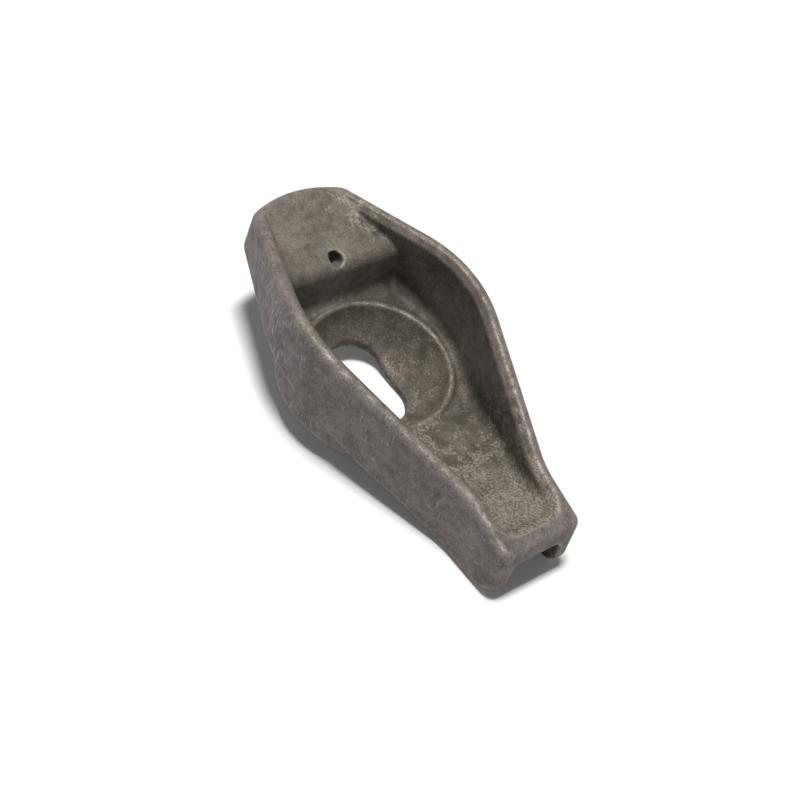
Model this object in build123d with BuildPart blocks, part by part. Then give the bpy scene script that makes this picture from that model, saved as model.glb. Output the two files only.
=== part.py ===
from build123d import *

import os
from math import cos, radians, sin, sqrt, tan

# Stud-mounted rocker arm with a ball seat: one solid steel piece.
# It is drawn with the stud axis upright: X runs from the pushrod end to the valve tip, Y across,
# and Z = 0 is the plane of the seat's lip. The last block lays it down as it rests on a flat surface.
# All sizes are in millimetres, all angles in degrees.

# Plan outline: a bowed nose, two flanks that meet beside the seat, and two parallel rails
wall = 2.6                      # thickness of the side walls
tail_x = -29.8                  # end of the pushrod nose
tip_x = 39.3                    # top of the front face over the valve
tip_reach = 3.0                 # the plan is this much longer; the front is cut square to the rails
tip_half_width = 7.6            # half the width over the rails
tail_radius = 20.0
tail_corner_radius = 3.0
tail_flank_angle = 19.8
tail_flank_at = (-26.3, 9.45)   # a point on the flank
tip_flank_angle = 17.3
tip_flank_at = (26.1, 8.7)
shoulder_radius = 28.0          # where the flanks meet
neck_radius = 15.0              # where a flank runs into its rail
front_corner_radius = 1.6
rim_radius = 1.2                # rounding of the outer top edges
rim_chamfer = 1.0               # bevel of the inner top edges
lower_chamfer = 0.9             # bevel all along the lower edge

# Side outline: the crest of the walls and their lower edge
crest_points = [(-3.2, 13.25), (tip_x, 7.9)]
crest_radius = 60.0
rim_start_x = -27.2             # the walls rise out of the shelf from here
rim_start_radius = 8.0
skirt_z = 0.3                   # lower edge at the pushrod end
skirt_points = [(1.0, skirt_z), (13.5, -2.6), (21.5, -2.9)]
skirt_radii = [20.0, 12.0, 20.0]
rail_heel = (30.3, -4.0)       # lowest point of the rails
rail_heel_radius = 12.0
rail_slope = 9.4                # their underside climbs from there to the tip
rail_nose_radius = 4.0

# Shelf over the pushrod cup, and the drop from it to the channel floor
shelf_x = -14.6
shelf_z = 6.9
shelf_angle = 7.6
shelf_edge_radius = 2.5
drop_foot_x = -12.7
drop_foot_radius = 2.4
shelf_base = [(-9.7, -1.4), (-15.5, -1.4), (-17.5, 0.7)]

# Channel between the walls: floor at the seat, ramp up to the valve pocket
floor_z = -0.5
floor_blend = 2.0               # blend between the floor and the walls
ramp_foot_x = 12.2
ramp_foot_radius = 12.0
pocket_end_x = 36.2
pocket_end_z = 7.0
pocket_corner_radius = 2.5
cavity_points = [(-17.0, 3.0), (-14.5, floor_z)]   # inner end of the cut, under the shelf
cavity_radius = 3.0

# Ball seat
seat_radius = 12.2
seat_centre_z = 3.8
lip_radius = 9.5                # inside of the lip, before the seat is cut
lip_outer_radius = 12.7
lip_taper = 0.3
bowl_radius = 16.0              # outside of the bowl, under the walls
bowl_top_z = 2.0
bowl_bottom_z = -8.87           # at the edge of the stud slot
bowl_cone_angle = 25.8
bowl_corner_radius = 5.0

# Stud slot
slot_half_width = 5.2
slot_half_length = 8.1
slot_x = -0.5

# Pushrod cup and its oil hole
cup_x = -22.0
cup_radius = 4.0
cup_mouth_radius = 4.8
cup_lead = 2.0                  # height of the cone at its mouth
oil_hole_radius = 1.15
oil_hole_at = (-16.1, 6.9)
oil_hole_angle = 45.0
oil_hole_length = 9.0

# Underside between the rails, with the pad that bears on the valve
web = 3.0                       # thickness under the ramp
web_end_x = 30.5
under_start_x = 14.0
rail_wall = 3.0
rail_gap = 4.6                  # half the gap between the rails, at the pad
rail_draft = 7.5                # it widens downwards
gap_chamfer = 0.75
pad_radius = 9.0
pad_x = 34.5
pad_z = 3.0
pad_start_x = 29.8

# Resting pose: it tips onto the rails and the bowl
rest_pitch = 9.4

beyond = 20.0                   # reach of a cut past the body

# Derived points
tail_slope, tip_slope = tan(radians(tail_flank_angle)), tan(radians(tip_flank_angle))
apex_rise = tip_flank_at[1] + tip_slope * tip_flank_at[0] - tail_flank_at[1] + tail_slope * tail_flank_at[0]
apex_x = apex_rise / (tail_slope + tip_slope)
apex_y = tail_flank_at[1] + tail_slope * (apex_x - tail_flank_at[0])
neck_x = tip_flank_at[0] + (tip_flank_at[1] - tip_half_width) / tip_slope
tail_centre_x = tail_x + tail_radius
flank_y = tail_flank_at[1] - tail_slope * tail_flank_at[0]      # the flank's height over the stud axis
a, b = 1 + tail_slope**2, tail_slope * flank_y - tail_centre_x
tail_corner_x = (-b - sqrt(b**2 - a * (tail_centre_x**2 + flank_y**2 - tail_radius**2))) / a
tail_corner_y = flank_y + tail_slope * tail_corner_x
shelf_slope = tan(radians(shelf_angle))
ramp_slope = (pocket_end_z - floor_z) / (pocket_end_x - ramp_foot_x)
rail_rise = tan(radians(rail_slope))
tip_z = crest_points[-1][1]
rail_front_x = (tip_x + rail_rise * (tip_z - rail_heel[1] + rail_rise * rail_heel[0])) / (1 + rail_rise**2)
rail_front_z = rail_heel[1] + rail_rise * (rail_front_x - rail_heel[0])
cone_slope = tan(radians(bowl_cone_angle))
bowl_apex_z = bowl_bottom_z - slot_half_width * cone_slope
bowl_corner_z = bowl_apex_z + bowl_radius * cone_slope
cup_seat_radius = sqrt(cup_radius**2 - cup_lead**2)
down_the_front = (sin(radians(rail_slope)), 0, -cos(radians(rail_slope)))
end_x = tail_x - 1.0
pad_end_x = tip_x + tip_reach


def shelf_height(x):
    return shelf_z + shelf_slope * (shelf_x - x)


def ramp_height(x):
    return pocket_end_z + ramp_slope * (x - pocket_end_x)


def pad_height(x):
    return pad_z + pad_radius - sqrt(pad_radius**2 - (x - pad_x) ** 2)


def gap_at(z):
    return rail_gap + tan(radians(rail_draft)) * (pad_z - z)


def at_x(sketch, x):
    return [v for v in sketch.vertices() if abs(v.X - x) < 0.01]


def crest_edges(body):
    high = [e for e in body.edges() if e.bounding_box().min.Z > pocket_end_z]
    return [e for e in high if abs(e.tangent_at(0.5).Z) < 0.5]


def follows(edge, outline):
    middle = edge @ 0.37
    return outline.distance_to(Vertex(middle.X, middle.Y, 0)) < 0.03


with BuildSketch() as plan:
    with BuildLine():
        ThreePointArc((tail_corner_x, -tail_corner_y), (tail_x, 0), (tail_corner_x, tail_corner_y))
        Polyline(
            (tail_corner_x, tail_corner_y),
            (apex_x, apex_y),
            (neck_x, tip_half_width),
            (tip_x + tip_reach, tip_half_width),
            (tip_x + tip_reach, -tip_half_width),
            (neck_x, -tip_half_width),
            (apex_x, -apex_y),
            (tail_corner_x, -tail_corner_y),
        )
    make_face()
    fillet(at_x(plan, tail_corner_x), tail_corner_radius)
    fillet(at_x(plan, apex_x), shoulder_radius)
    fillet(at_x(plan, neck_x), neck_radius)

with BuildSketch() as channel_plan:
    add(plan.sketch)
    offset(amount=-wall, kind=Kind.ARC)
    split(bisect_by=Plane.YZ.offset(pocket_end_x), keep=Keep.BOTTOM)
    fillet(at_x(channel_plan, pocket_end_x), pocket_corner_radius)

with BuildSketch() as shelf_plan:
    add(plan.sketch)
    offset(amount=-rim_radius - 0.05, kind=Kind.ARC)

with BuildSketch(Plane.XZ) as side:
    with BuildLine():
        Polyline(
            (end_x, shelf_height(end_x)),
            (rim_start_x, shelf_height(rim_start_x)),
            *crest_points,
            (rail_front_x, rail_front_z),
            rail_heel,
            *reversed(skirt_points),
            (end_x, skirt_z),
            close=True,
        )
    make_face()
    fillet(at_x(side, rim_start_x), rim_start_radius)
    for crest_x, crest_z in crest_points[:-1]:
        fillet(at_x(side, crest_x), crest_radius)
    for (skirt_x, lower_z), skirt_radius in zip(skirt_points, skirt_radii):
        fillet(at_x(side, skirt_x), skirt_radius)
    fillet(at_x(side, rail_heel[0]), rail_heel_radius)
    fillet(at_x(side, rail_front_x), rail_nose_radius)

# The channel between the walls, as the solid that it removes
with BuildPart() as channel:
    with BuildSketch(Plane.XY.offset(-beyond)):
        add(channel_plan.sketch)
    extrude(amount=2 * beyond)
    with BuildSketch(Plane.XZ) as channel_side:
        with BuildLine():
            Polyline(
                (end_x, cavity_points[0][1]),
                *cavity_points,
                (ramp_foot_x, floor_z),
                (tip_x, ramp_height(tip_x)),
                (tip_x, beyond),
                (end_x, beyond),
                close=True,
            )
        make_face()
        fillet(at_x(channel_side, cavity_points[0][0]), cavity_radius)
        fillet(at_x(channel_side, cavity_points[1][0]), cavity_radius)
        fillet(at_x(channel_side, ramp_foot_x), ramp_foot_radius)
    extrude(amount=beyond, both=True, mode=Mode.INTERSECT)
    low_edges = [e for e in channel.edges() if e.bounding_box().max.Z < beyond / 2]
    feet = [e for e in low_edges if follows(e, channel_plan.sketch.faces()[0].outer_wire())]
    fillet(feet, floor_blend)

# The solid nose under the shelf
with BuildPart() as shelf:
    with BuildSketch(Plane.XY.offset(-beyond)):
        add(shelf_plan.sketch)
    extrude(amount=2 * beyond)
    with BuildSketch(Plane.XZ) as shelf_side:
        with BuildLine():
            Polyline(
                (end_x, shelf_height(end_x)),
                (shelf_x, shelf_z),
                (drop_foot_x, floor_z),
                (shelf_base[0][0], floor_z),
                *shelf_base,
                (end_x, shelf_base[-1][1]),
                close=True,
            )
        make_face()
        fillet(at_x(shelf_side, shelf_x), shelf_edge_radius)
        fillet(at_x(shelf_side, drop_foot_x), drop_foot_radius)
    extrude(amount=beyond, both=True, mode=Mode.INTERSECT)

# The hollow under the ramp, and the gap between the rails, as the solids that they remove
with BuildPart() as under_ramp:
    with BuildSketch(Plane.XY.offset(-beyond)):
        add(plan.sketch)
        offset(amount=-rail_wall, kind=Kind.ARC)
        split(bisect_by=Plane.YZ.offset(under_start_x), keep=Keep.TOP)
        split(bisect_by=Plane.YZ.offset(web_end_x), keep=Keep.BOTTOM)
    extrude(amount=2 * beyond)
    with BuildSketch(Plane.XZ):
        with BuildLine():
            Polyline(
                (under_start_x - 1, ramp_height(under_start_x - 1) - web),
                (web_end_x + 1, ramp_height(web_end_x + 1) - web),
                (web_end_x + 1, -beyond),
                (under_start_x - 1, -beyond),
                close=True,
            )
        make_face()
    extrude(amount=beyond, both=True, mode=Mode.INTERSECT)

with BuildPart() as rail_space:
    with BuildSketch(Plane.XZ):
        with BuildLine():
            ThreePointArc(
                (pad_start_x, pad_height(pad_start_x)), (pad_x, pad_z), (pad_end_x, pad_height(pad_end_x))
            )
            Polyline(
                (pad_end_x, pad_height(pad_end_x)),
                (pad_end_x, -beyond),
                (pad_start_x, -beyond),
                (pad_start_x, pad_height(pad_start_x)),
            )
        make_face()
    extrude(amount=tip_half_width, both=True)
    with BuildSketch(Plane.YZ.offset(pad_start_x)):
        with BuildLine():
            Polyline(
                (-gap_at(beyond), beyond),
                (gap_at(beyond), beyond),
                (gap_at(-beyond), -beyond),
                (-gap_at(-beyond), -beyond),
                close=True,
            )
        make_face()
    extrude(amount=beyond, mode=Mode.INTERSECT)
    crown_edges = rail_space.faces().sort_by(Axis.Z)[-1].edges().filter_by(GeomType.LINE, reverse=True)
    chamfer(crown_edges, gap_chamfer)

with BuildPart() as bowl:
    with BuildSketch(Plane.XZ) as bowl_side:
        with BuildLine():
            Polyline(
                (0, bowl_apex_z),
                (bowl_radius, bowl_corner_z),
                (bowl_radius, bowl_top_z),
                (0, bowl_top_z),
                close=True,
            )
        make_face()
        fillet([v for v in at_x(bowl_side, bowl_radius) if v.Z < 0], bowl_corner_radius)
    revolve(axis=Axis.Z)

# The arm with its stud axis upright
with BuildPart() as upright:
    with BuildSketch(Plane.XY.offset(-beyond)):
        add(plan.sketch)
    extrude(amount=2 * beyond)
    with BuildSketch(Plane.XZ):
        add(side.sketch)
    extrude(amount=beyond, both=True, mode=Mode.INTERSECT)
    outline = plan.sketch.faces()[0].outer_wire()
    low_edges = [e for e in upright.edges() if e.bounding_box().max.Z < pocket_end_z]
    lower_rim = [e for e in low_edges if follows(e, outline) and abs(e.tangent_at(0.5).Z) < 0.8]
    chamfer(lower_rim, lower_chamfer)
    with BuildSketch(Plane(origin=(tip_x, 0, tip_z), x_dir=(0, 1, 0), z_dir=down_the_front)):
        Rectangle(3 * tip_half_width, 2 * front_corner_radius)
        with Locations((0, -2 * front_corner_radius)):
            RectangleRounded(
                2 * tip_half_width, 4 * front_corner_radius, front_corner_radius, mode=Mode.SUBTRACT
            )
    extrude(amount=beyond, both=True, mode=Mode.SUBTRACT)
    add(under_ramp.part, mode=Mode.SUBTRACT)
    add(rail_space.part, mode=Mode.SUBTRACT)
    add(bowl.part)
    add(channel.part, mode=Mode.SUBTRACT)
    inner_outline = channel_plan.sketch.faces()[0].outer_wire()
    chamfer([e for e in crest_edges(upright) if follows(e, inner_outline)], rim_chamfer)
    front_x = tip_x - front_corner_radius
    fillet([e for e in crest_edges(upright) if follows(e, outline) or e.center().X > front_x], rim_radius)
    add(shelf.part)

    # raised lip, ball seat and stud slot
    with BuildSketch(Plane.XZ):
        with BuildLine():
            Polyline(
                (lip_radius, floor_z - 1),
                (lip_outer_radius, floor_z - 1),
                (lip_outer_radius - lip_taper, 0),
                (lip_radius, 0),
                close=True,
            )
        make_face()
    revolve(axis=Axis.Z)
    with Locations((0, 0, seat_centre_z)):
        Sphere(seat_radius, mode=Mode.SUBTRACT)
    with BuildSketch(Plane.XY.offset(-beyond)):
        with Locations((slot_x, 0)):
            SlotOverall(2 * slot_half_length, 2 * slot_half_width)
    extrude(amount=beyond, mode=Mode.SUBTRACT)

    # pushrod cup with its mouth cone, and the oil hole that runs into it
    with BuildSketch(Plane.XZ):
        with BuildLine():
            Polyline(
                (cup_x, skirt_z - 5),
                (cup_x + cup_mouth_radius, skirt_z - 5),
                (cup_x + cup_mouth_radius, skirt_z),
                (cup_x + cup_seat_radius, skirt_z + cup_lead),
                (cup_x, skirt_z + cup_lead),
                close=True,
            )
        make_face()
    revolve(axis=Axis((cup_x, 0, 0), (0, 0, 1)), mode=Mode.SUBTRACT)
    with Locations((cup_x, 0, skirt_z)):
        Sphere(cup_radius, mode=Mode.SUBTRACT)
    with Locations(Location((oil_hole_at[0], 0, oil_hole_at[1]), (0, oil_hole_angle, 0))):
        Cylinder(
            oil_hole_radius,
            oil_hole_length,
            align=(Align.CENTER, Align.CENTER, Align.MAX),
            mode=Mode.SUBTRACT,
        )

# Laid down on the rails and the bowl: the origin is the middle of its footprint, on the surface
tipped = upright.part.rotate(Axis.Y, rest_pitch)
footprint = tipped.bounding_box()
with BuildPart() as rocker_arm:
    with Locations((-footprint.center().X, 0, -footprint.min.Z)):
        add(tipped)

rocker_arm.part.label = "rocker_arm"
os.makedirs("parts", exist_ok=True)
export_step(rocker_arm.part, "parts/rocker_arm.step")
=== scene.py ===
import bpy
from math import radians
from mathutils import Euler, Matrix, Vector


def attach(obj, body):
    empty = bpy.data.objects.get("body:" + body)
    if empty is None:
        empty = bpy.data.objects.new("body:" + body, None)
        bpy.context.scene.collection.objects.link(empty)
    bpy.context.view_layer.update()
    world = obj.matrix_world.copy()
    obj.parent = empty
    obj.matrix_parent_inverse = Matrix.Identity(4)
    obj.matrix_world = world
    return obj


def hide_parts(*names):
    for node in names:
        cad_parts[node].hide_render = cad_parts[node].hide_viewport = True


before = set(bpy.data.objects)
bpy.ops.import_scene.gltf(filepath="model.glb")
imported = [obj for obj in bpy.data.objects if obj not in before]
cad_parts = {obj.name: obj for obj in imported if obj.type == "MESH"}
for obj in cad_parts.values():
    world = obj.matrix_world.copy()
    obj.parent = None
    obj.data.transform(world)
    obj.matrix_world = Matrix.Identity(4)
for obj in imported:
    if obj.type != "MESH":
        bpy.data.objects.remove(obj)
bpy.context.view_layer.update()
bpy.ops.object.select_all(action="DESELECT")

white = (1.0, 1.0, 1.0, 1.0)


# Helpers for materials: they add nodes to the tree that nodes and links stand for at the time.
def feed(socket, value):
    """Puts a number, a colour or another node's output on an input."""
    if isinstance(value, bpy.types.NodeSocket):
        links.new(value, socket)
    else:
        socket.default_value = value


def reckon(operation, first, second):
    """Arithmetic on two values."""
    arithmetic = nodes.new("ShaderNodeMath")
    arithmetic.operation = operation
    feed(arithmetic.inputs[0], first)
    feed(arithmetic.inputs[1], second)
    return arithmetic.outputs["Value"]


def between(value, low, high, out_low=0.0, out_high=1.0, course="SMOOTHSTEP"):
    """A step of a value, from out_low at low to out_high at high."""
    step = nodes.new("ShaderNodeMapRange")
    step.interpolation_type = course
    feed(step.inputs["Value"], value)
    for name, number in zip(("From Min", "From Max", "To Min", "To Max"),
                            (low, high, out_low, out_high)):
        feed(step.inputs[name], number)
    return step.outputs["Result"]


# Camera: it looks down on the arm from beyond the valve tip, with the pushrod end at the back.
# A short telephoto, rolled a little, so that the arm runs from the upper left to the lower right.
camera_place = (0.102487, -0.116546, 0.161115)
camera_turn = (radians(43.763), radians(-11.816), radians(53.170))
camera_data = bpy.data.cameras.new("camera")
camera_data.sensor_width = 36.0
camera_data.lens = 63.7
camera_data.clip_start = 0.02
camera_data.clip_end = 20.0
camera = bpy.data.objects.new("camera", camera_data)
bpy.context.collection.objects.link(camera)
camera.location = camera_place
camera.rotation_euler = Euler(camera_turn, "XYZ")
bpy.context.scene.camera = camera
bpy.context.scene.view_settings.view_transform = "Standard"

# Floor: a wide sheet of matt white paper that takes the arm's soft shadow.
# A glow, seen by the camera and in reflections only, lifts the lit paper to clean white: it is
# faint under the arm and grows with the distance from it.
sheet_width = 6.0
paper_white = (0.93, 0.93, 0.93, 1.0)
glow_distances = (0.10, 1.10)
glow_strengths = (0.06, 1.00)
bpy.ops.mesh.primitive_plane_add(size=sheet_width, location=(0.0, 0.0, 0.0))
floor = bpy.context.active_object
floor.name = "floor"
floor_paper = bpy.data.materials.new("white_paper")
floor_paper.use_nodes = True
nodes, links = floor_paper.node_tree.nodes, floor_paper.node_tree.links
paper = nodes["Principled BSDF"]
feed(paper.inputs["Base Color"], paper_white)
feed(paper.inputs["Roughness"], 0.9)
feed(paper.inputs["Specular IOR Level"], 0.0)
spread = nodes.new("ShaderNodeVectorMath")
spread.operation = "LENGTH"
feed(spread.inputs[0], nodes.new("ShaderNodeTexCoord").outputs["Object"])
faint = between(spread.outputs["Value"], *glow_distances, *glow_strengths, course="LINEAR")
light_path = nodes.new("ShaderNodeLightPath")
seen = reckon("MAXIMUM", light_path.outputs["Is Camera Ray"], light_path.outputs["Is Glossy Ray"])
glow = nodes.new("ShaderNodeEmission")
feed(glow.inputs["Color"], white)
feed(glow.inputs["Strength"], reckon("MULTIPLY", faint, seen))
paper_sum = nodes.new("ShaderNodeAddShader")
feed(paper_sum.inputs[0], paper.outputs["BSDF"])
feed(paper_sum.inputs[1], glow.outputs["Emission"])
feed(nodes["Material Output"].inputs["Surface"], paper_sum.outputs["Shader"])
floor.data.materials.append(floor_paper)

# Light: a surround that lights the arm dimly, but looks white to the camera, in reflections and
# through glass, and one soft box overhead, a little to the -Y side, which keeps the shadow close.
surround_light = 0.1
surround_look = 1.0
soft_box_width = 0.12
soft_box_length = 0.22
soft_box_power = 7.9
soft_box_place = Vector((0.0, -0.08, 0.90))
world = bpy.data.worlds.new("white_surround")
bpy.context.scene.world = world
world.use_nodes = True
nodes, links = world.node_tree.nodes, world.node_tree.links
surround = nodes["Background"]
feed(surround.inputs["Color"], white)
light_path = nodes.new("ShaderNodeLightPath")
seen = reckon("MAXIMUM", light_path.outputs["Is Camera Ray"], light_path.outputs["Is Glossy Ray"])
seen = reckon("MAXIMUM", seen, light_path.outputs["Is Transmission Ray"])
feed(surround.inputs["Strength"],
     between(seen, 0.0, 1.0, surround_light, surround_look, course="LINEAR"))
soft_box_data = bpy.data.lights.new("soft_box", "AREA")
soft_box_data.shape = "RECTANGLE"
soft_box_data.size = soft_box_width
soft_box_data.size_y = soft_box_length
soft_box_data.energy = soft_box_power
soft_box = bpy.data.objects.new("soft_box", soft_box_data)
bpy.context.collection.objects.link(soft_box)
soft_box.location = soft_box_place
soft_box.rotation_euler = (-soft_box_place).to_track_quat("-Z", "Y").to_euler()


def choose(thing):
    """Selects one object alone and makes it the active one."""
    bpy.ops.object.select_all(action="DESELECT")
    bpy.context.view_layer.objects.active = thing
    thing.select_set(True)


def work(name, operation, tool):
    """Cuts a tool out of the arm, or joins it on, and takes the tool away."""
    working = arm.modifiers.new(name, "BOOLEAN")
    working.operation = operation
    working.solver = "EXACT"
    working.object = tool
    choose(arm)
    bpy.ops.object.modifier_apply(modifier=name)
    bpy.data.objects.remove(tool)


# Rocker arm: one forging of dark steel, trimmed, drilled and left as forged. Its skin is a
# brown-grey oxide with a fine grain, rubbed bright along the rims of the walls and on the
# crest of the ball seat, where the paler colour is also a painted highlight.
arm_core = bpy.data.objects["rocker_arm"]
arm = bpy.data.objects.new("arm_forging", arm_core.data.copy())
bpy.context.collection.objects.link(arm)
same_point = 0.000002
choose(arm)
bpy.ops.object.mode_set(mode="EDIT")
bpy.ops.mesh.select_all(action="SELECT")
bpy.ops.mesh.remove_doubles(threshold=same_point)
bpy.ops.object.mode_set(mode="OBJECT")

# The oil hole is drilled again, out through the rounded edge of the shelf, because the core still
# has a thin skin of metal over part of its mouth.
oil_hole_mouth = (-0.020186, 0.0, 0.018332)
oil_hole_lean = radians(54.4)
drill_radius = 0.00117
drill_length = 0.0030
bpy.ops.object.select_all(action="DESELECT")
bpy.ops.mesh.primitive_cylinder_add(vertices=40, radius=drill_radius, depth=drill_length,
                                    location=oil_hole_mouth, rotation=(0.0, oil_hole_lean, 0.0))
work("drilling", "DIFFERENCE", bpy.context.active_object)

# The core has a narrow gap on each side, where the bowl runs up under the foot of the wall beside
# the shelf. Both are closed with metal.
fill_centre = (-0.0167, 0.0127, 0.0105)
fill_reach = (0.0023, 0.0013, 0.0009)
for side in (-1.0, 1.0):
    bpy.ops.object.select_all(action="DESELECT")
    bpy.ops.mesh.primitive_ico_sphere_add(
        subdivisions=3, radius=1.0, scale=fill_reach,
        location=(fill_centre[0], side * fill_centre[1], fill_centre[2]))
    work("filling", "UNION", bpy.context.active_object)

# The forging's skin is one even mesh, a little softer at its edges than the core.
skin_cell = 0.00031
softening_factor = 0.5
softening_rounds = 4
evening = arm.modifiers.new("even_skin", "REMESH")
evening.mode = "VOXEL"
evening.voxel_size = skin_cell
evening.use_smooth_shade = True
bpy.ops.object.modifier_apply(modifier="even_skin")
softening = arm.modifiers.new("soft_edges", "SMOOTH")
softening.factor = softening_factor
softening.iterations = softening_rounds
bpy.ops.object.modifier_apply(modifier="soft_edges")

# Its finish: scale and fine grit on every face, streaks down the outer walls, pale flecks in the
# hollows, dark painted shade in the corners, and bare metal where the edges rub, paler as a
# painted highlight too.
steel = bpy.data.materials.new("forged_steel")
steel.use_nodes = True
nodes, links = steel.node_tree.nodes, steel.node_tree.links
skin = nodes["Principled BSDF"]
feed(skin.inputs["Specular IOR Level"], 0.35)
place = nodes.new("ShaderNodeTexCoord").outputs["Object"]
surface = nodes.new("ShaderNodeNewGeometry")


def lumps(size, detail=2.0, stretch=(1.0, 1.0, 1.0), shift=(0.0, 0.0, 0.0)):
    """Noise with lumps of about this size in metres, drawn out by stretch, moved by shift."""
    mapping = nodes.new("ShaderNodeMapping")
    feed(mapping.inputs["Vector"], place)
    feed(mapping.inputs["Location"], shift)
    feed(mapping.inputs["Scale"], tuple(1.0 / (size * part) for part in stretch))
    noise = nodes.new("ShaderNodeTexNoise")
    feed(noise.inputs["Vector"], mapping.outputs["Vector"])
    feed(noise.inputs["Scale"], 1.0)
    feed(noise.inputs["Detail"], detail)
    feed(noise.inputs["Roughness"], 0.6)
    return noise.outputs["Fac"]


def blend(first, second, share):
    """Two values added, each by its share."""
    return reckon("ADD", reckon("MULTIPLY", first, share), reckon("MULTIPLY", second, 1.0 - share))


def coat(mask, under, over):
    """Lays one colour over another where the mask is 1."""
    layer = nodes.new("ShaderNodeMix")
    layer.data_type = "RGBA"
    feed(layer.inputs["Factor"], mask)
    feed(layer.inputs["A"], under)
    feed(layer.inputs["B"], over)
    return layer.outputs["Result"]


def ball(centre, radius, soft):
    """1 inside a ball on the arm, falling to 0 across its edge."""
    distance = nodes.new("ShaderNodeVectorMath")
    distance.operation = "DISTANCE"
    feed(distance.inputs[0], place)
    feed(distance.inputs[1], centre)
    return between(distance.outputs["Value"], radius - soft, radius + soft, 1.0, 0.0)


# Where a face looks outwards, away from the middle of the arm.
outside_range = (0.003, 0.008)
flatwise = nodes.new("ShaderNodeVectorMath")
flatwise.operation = "MULTIPLY"
feed(flatwise.inputs[0], surface.outputs["Normal"])
feed(flatwise.inputs[1], (1.0, 1.0, 0.0))
outwards = nodes.new("ShaderNodeVectorMath")
outwards.operation = "DOT_PRODUCT"
feed(outwards.inputs[0], flatwise.outputs["Vector"])
feed(outwards.inputs[1], place)
outside = between(outwards.outputs["Value"], *outside_range)
inside = reckon("SUBTRACT", 1.0, outside)

# How much a place is shut in, for the painted shade in the corners, and how much it stands out,
# for the rubbed metal and its painted highlight.
shelter_reach = 0.009
painted_shade_range = (0.38, 0.92)
standing_range = (0.503, 0.520)
shelter = nodes.new("ShaderNodeAmbientOcclusion")
shelter.samples = 8
feed(shelter.inputs["Distance"], shelter_reach)
# Occlusion mask for the painted shade: darker colour where a place is shut in.
painted_corner_shade = between(shelter.outputs["AO"], *painted_shade_range, 1.0, 0.0)
standing = between(surface.outputs["Pointiness"], *standing_range)

# Base colours: warm brown-grey within the arm, cooler on its outer walls and ends.
cloud = lumps(0.0060, 3.0)
mottle = lumps(0.0016, 4.0, shift=(0.31, 0.17, 0.23))
grit = lumps(0.00030, 2.0, shift=(0.7, 0.1, 0.4))
speck = lumps(0.00040, 4.0, shift=(0.15, 0.45, 0.05))
brown_dark = (0.086, 0.073, 0.058, 1.0)
brown_pale = (0.180, 0.156, 0.128, 1.0)
plum_dark = (0.108, 0.091, 0.084, 1.0)
plum_pale = (0.185, 0.160, 0.154, 1.0)
cloud_share = 0.55
blotch_range = (0.36, 0.64)
blotch = between(blend(cloud, mottle, cloud_share), *blotch_range)
brown = coat(blotch, brown_dark, brown_pale)
plum = coat(blotch, plum_dark, plum_pale)
colour = coat(outside, brown, plum)

# Pale flecks: in the valve pocket, along the ramp, in the ball seat, and at the foot of one wall
# beside the shelf.
ramp_share = 0.9
pocket_base = 0.65
fleck_lift = 0.27
fleck_patch_range = (0.45, 0.58)
fleck_range = (0.58, 0.84)
fleck_cover = 0.58
beige = (0.420, 0.365, 0.300, 1.0)
pocket = ball((0.0300, 0.0, 0.0060), 0.0125, 0.0060)
ramp = ball((0.0170, 0.0, 0.0100), 0.0125, 0.0060)
seat = ball((-0.0045, 0.0, 0.0100), 0.0110, 0.0030)
shelf_foot = ball((-0.0270, 0.0095, 0.0200), 0.0060, 0.0040)
fleck_zone = reckon("MAXIMUM", reckon("MAXIMUM", pocket, seat),
                    reckon("MAXIMUM", shelf_foot, reckon("MULTIPLY", ramp, ramp_share)))
fleck_patch = between(lumps(0.0020, 4.0, shift=(0.05, 0.62, 0.33)), *fleck_patch_range)
fleck_field = reckon("MULTIPLY", reckon("MULTIPLY", fleck_zone, inside),
                     reckon("MAXIMUM", fleck_patch, reckon("MULTIPLY", pocket, pocket_base)))
fleck_level = reckon("ADD", speck, reckon("MULTIPLY", fleck_field, fleck_lift))
flecks = between(fleck_level, *fleck_range)
colour = coat(reckon("MULTIPLY", flecks, fleck_cover), colour, beige)

# Streaks: short pale scratches that run down the outer walls, more of them towards the tail.
tail_range = (-0.012, 0.006)
tail_lift = 0.05
streak_patch_range = (0.42, 0.62)
streak_patch_least = 0.25
streak_range = (0.57, 0.70)
streak_cover = 0.7
lilac = (0.360, 0.325, 0.335, 1.0)
streak = lumps(0.00040, 2.0, stretch=(1.0, 1.0, 4.0), shift=(0.2, 0.9, 0.6))
streak_patch = between(lumps(0.0070, 2.0, shift=(0.4, 0.3, 0.8)), *streak_patch_range,
                       streak_patch_least, 1.0)
along = nodes.new("ShaderNodeSeparateXYZ")
feed(along.inputs["Vector"], place)
tail_side = between(along.outputs["X"], *tail_range, 1.0, 0.0)
streak_level = reckon("ADD", streak, reckon("MULTIPLY", tail_side, tail_lift))
streaks = reckon("MULTIPLY", between(streak_level, *streak_range), outside)
streaks = reckon("MULTIPLY", streaks, streak_patch)
colour = coat(reckon("MULTIPLY", streaks, streak_cover), colour, lilac)

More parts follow.
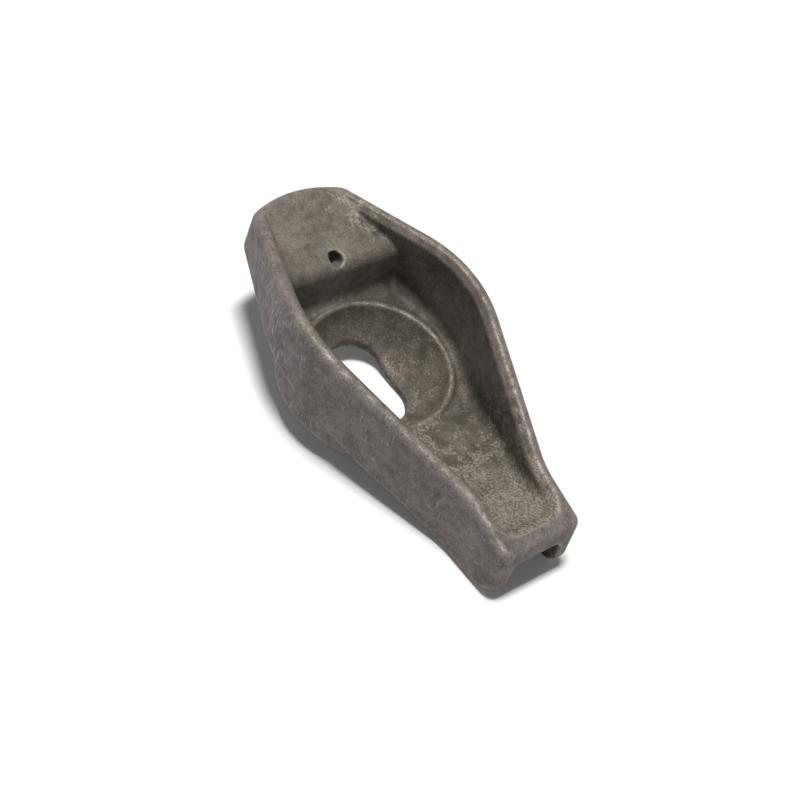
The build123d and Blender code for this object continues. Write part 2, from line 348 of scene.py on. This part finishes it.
# Fine grit darkens every face a little.
pit_range = (0.33, 0.50)
pit_cover = 0.60
black = (0.045, 0.038, 0.030, 1.0)
pits = between(grit, *pit_range, 1.0, 0.0)
colour = coat(reckon("MULTIPLY", pits, pit_cover), colour, black)

# Painted shade: the corners and the feet of the walls are darkened, thinned where the grit
# catches.
shade_grit_range = (0.40, 0.72)
shade_most = 0.92
shade_least = 0.45
painted_shade_colour = (0.027, 0.021, 0.016, 1.0)
painted_shade_amount = reckon("MULTIPLY", painted_corner_shade, between(grit, *shade_grit_range, shade_most, shade_least))
colour = coat(reckon("MULTIPLY", painted_shade_amount, inside), colour, painted_shade_colour)

# Bare metal along the rims, paler as a painted highlight too, broken up by the grit.
mottle_share = 0.5
rub_and_highlight_range = (0.40, 0.62)
rub_and_highlight_least = 0.25
rub_and_highlight_cover = 0.65
# Worn metal colour, also a painted highlight along the rims.
bare_metal_and_highlight = (0.260, 0.225, 0.188, 1.0)
rubbed_and_highlight = reckon("MULTIPLY", standing,
                between(blend(mottle, grit, mottle_share), *rub_and_highlight_range, rub_and_highlight_least, 1.0))
colour = coat(reckon("MULTIPLY", rubbed_and_highlight, rub_and_highlight_cover), colour, bare_metal_and_highlight)
feed(skin.inputs["Base Color"], colour)

# Gloss: the scale is dull, the bare rims shine more, and the painted-shade corners hardly at all.
scale_metal = 0.20
rim_metal = 0.45
dull_range = (0.35, 0.65)
dull_most = 0.64
dull_least = 0.54
rub_polish = 0.06
corner_dullness = 0.20
feed(skin.inputs["Metallic"], between(rubbed_and_highlight, 0.0, 1.0, scale_metal, rim_metal))
roughness = between(mottle, *dull_range, dull_most, dull_least)
roughness = reckon("SUBTRACT", roughness, reckon("MULTIPLY", rubbed_and_highlight, rub_polish))
roughness = reckon("ADD", roughness, reckon("MULTIPLY", painted_corner_shade, corner_dullness))
feed(skin.inputs["Roughness"], roughness)

# Relief: fine grit, broader mottling, and flecks that stand a little proud.
relief_strength = 0.55
relief_depth = 0.00010
mottle_height = 1.6
fleck_height = 0.3
height = reckon("ADD", grit, reckon("MULTIPLY", mottle, mottle_height))
height = reckon("ADD", height, reckon("MULTIPLY", flecks, fleck_height))
relief = nodes.new("ShaderNodeBump")
feed(relief.inputs["Strength"], relief_strength)
feed(relief.inputs["Distance"], relief_depth)
feed(relief.inputs["Height"], height)
feed(skin.inputs["Normal"], relief.outputs["Normal"])
arm.data.materials.clear()
arm.data.materials.append(steel)
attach(arm, "root")
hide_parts("rocker_arm")
